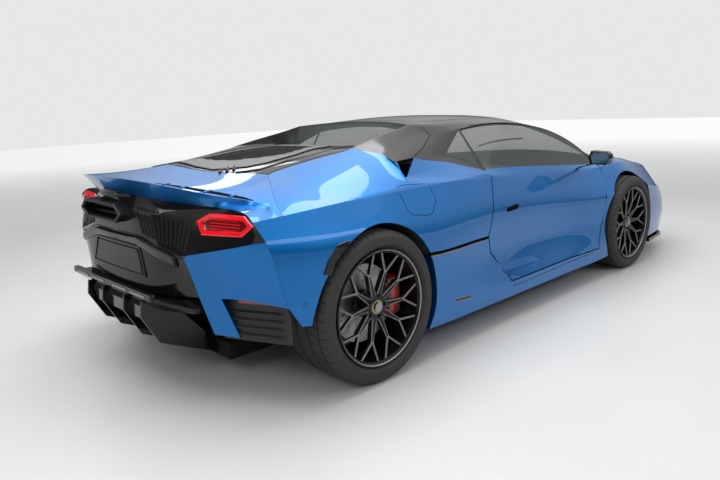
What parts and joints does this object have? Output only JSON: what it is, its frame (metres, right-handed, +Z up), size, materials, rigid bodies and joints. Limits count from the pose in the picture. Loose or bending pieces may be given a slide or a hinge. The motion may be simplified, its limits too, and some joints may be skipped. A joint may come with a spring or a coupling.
{
  "type": "mid-engined supercar",
  "caption": "Low two-seat mid-engined supercar with wedge body, ducktail, black roof and forked alloy wheels; doors and lids open, and the front wheels steer.",
  "frame": {"origin": "on the ground under the middle of the length and width", "axes": "+X forward, +Y to the car's left, +Z up"},
  "size_m": [4.706, 2.246, 1.201],
  "materials": {
    "body_paint": "metallic gloss",
    "gloss_black": "gloss",
    "satin_trim": "satin",
    "tinted_glass": "gloss",
    "tyre_rubber": "matte",
    "black_alloy": "gloss black",
    "bare_steel": "machined",
    "tail_lamp_red": "gloss",
    "head_lamp_clear": "gloss",
    "cabin_leather": "soft grain",
    "engine_casting": "cast"
  },
  "bodies": {
    "body": {"front_fender_left": "body_paint", "front_fender_right": "body_paint", "rear_quarter_left": "body_paint", "rear_quarter_right": "body_paint", "side_skirt_left": "body_paint", "side_skirt_right": "body_paint", "rear_corner_left": "body_paint", "rear_corner_right": "body_paint", "front_bumper": "body_paint", "tail_deck": "body_paint", "front_intake_left": "gloss_black", "front_intake_right": "gloss_black", "front_intake_centre": "gloss_black", "roof": "gloss_black", "rear_bumper": "gloss_black", "diffuser": "gloss_black", "front_splitter": "gloss_black", "rear_pillar_left": "gloss_black", "rear_pillar_right": "gloss_black", "quarter_glass_left": "tinted_glass", "quarter_glass_right": "tinted_glass", "windscreen": "tinted_glass", "rear_screen": "tinted_glass", "exhaust": "bare_steel", "rear_suspension": "bare_steel", "front_suspension": "satin_trim", "floor_tub": "satin_trim", "tail_lamp_left": "tail_lamp_red", "tail_lamp_right": "tail_lamp_red", "head_lamp_left": "head_lamp_clear", "head_lamp_right": "head_lamp_clear", "seat_left": "cabin_leather", "seat_right": "cabin_leather", "dashboard": "cabin_leather", "engine_block": "engine_casting"},
    "door_left": {"door_left": "body_paint", "door_glass_left": "tinted_glass", "mirror_left": "gloss_black"},
    "door_right": {"door_right": "body_paint", "door_glass_right": "tinted_glass", "mirror_right": "gloss_black"},
    "bonnet": {"bonnet": "body_paint"},
    "engine_cover": {"engine_cover": "gloss_black"},
    "knuckle_left": {"knuckle_front_left": "bare_steel"},
    "knuckle_right": {"knuckle_front_right": "bare_steel"},
    "steering_wheel": {"steering_wheel": "cabin_leather"},
    "wheel_front_left": {"tyre_front_left": "tyre_rubber", "wheel_front_left": "black_alloy"},
    "wheel_front_right": {"tyre_front_right": "tyre_rubber", "wheel_front_right": "black_alloy"},
    "wheel_rear_left": {"tyre_rear_left": "tyre_rubber", "wheel_rear_left": "black_alloy"},
    "wheel_rear_right": {"tyre_rear_right": "tyre_rubber", "wheel_rear_right": "black_alloy"}
  },
  "joints": [
    {"name": "steer_left", "type": "hinge", "parent": "body", "child": "knuckle_left", "pos_m": [1.185, 0.7935, 0.343], "axis": [0, 0, 1], "range_deg": [-30, 30]},
    {"name": "steer_right", "type": "hinge", "parent": "body", "child": "knuckle_right", "pos_m": [1.185, -0.7935, 0.343], "axis": [0, 0, 1], "range_deg": [-30, 30]},
    {"name": "front_wheel_spin_left", "type": "hinge", "parent": "knuckle_left", "child": "wheel_front_left", "pos_m": [1.185, 0.861, 0.343], "axis": [0, 1, 0], "continuous": true},
    {"name": "rear_wheel_spin_left", "type": "hinge", "parent": "body", "child": "wheel_rear_left", "pos_m": [-1.473, 0.835, 0.364], "axis": [0, 1, 0], "continuous": true},
    {"name": "door_left_open", "type": "hinge", "parent": "body", "child": "door_left", "pos_m": [0.917, 0.966, 0.5], "axis": [0.35, 0.2, -0.9151], "range_deg": [0, 65]},
    {"name": "front_wheel_spin_right", "type": "hinge", "parent": "knuckle_right", "child": "wheel_front_right", "pos_m": [1.185, -0.861, 0.343], "axis": [0, 1, 0], "continuous": true},
    {"name": "rear_wheel_spin_right", "type": "hinge", "parent": "body", "child": "wheel_rear_right", "pos_m": [-1.473, -0.835, 0.364], "axis": [0, 1, 0], "continuous": true},
    {"name": "door_right_open", "type": "hinge", "parent": "body", "child": "door_right", "pos_m": [0.917, -0.966, 0.5], "axis": [-0.35, 0.2, 0.9151], "range_deg": [0, 65]},
    {"name": "bonnet_lift", "type": "hinge", "parent": "body", "child": "bonnet", "pos_m": [1.137, 0, 0.822], "axis": [0, -1, 0], "range_deg": [0, 50]},
    {"name": "engine_cover_lift", "type": "hinge", "parent": "body", "child": "engine_cover", "pos_m": [-0.928, 0, 1.072], "axis": [0, 1, 0], "range_deg": [0, 45]},
    {"name": "steering_wheel_turn", "type": "hinge", "parent": "body", "child": "steering_wheel", "pos_m": [0.267, 0.36, 0.72], "axis": [-0.9397, 0, 0.342], "range_deg": [-360, 360]}
  ],
  "couplings": [
    {"joint": "steer_right", "follows": "steer_left", "ratio": 1},
    {"joint": "steering_wheel_turn", "follows": "steer_left", "ratio": 12}
  ]
}
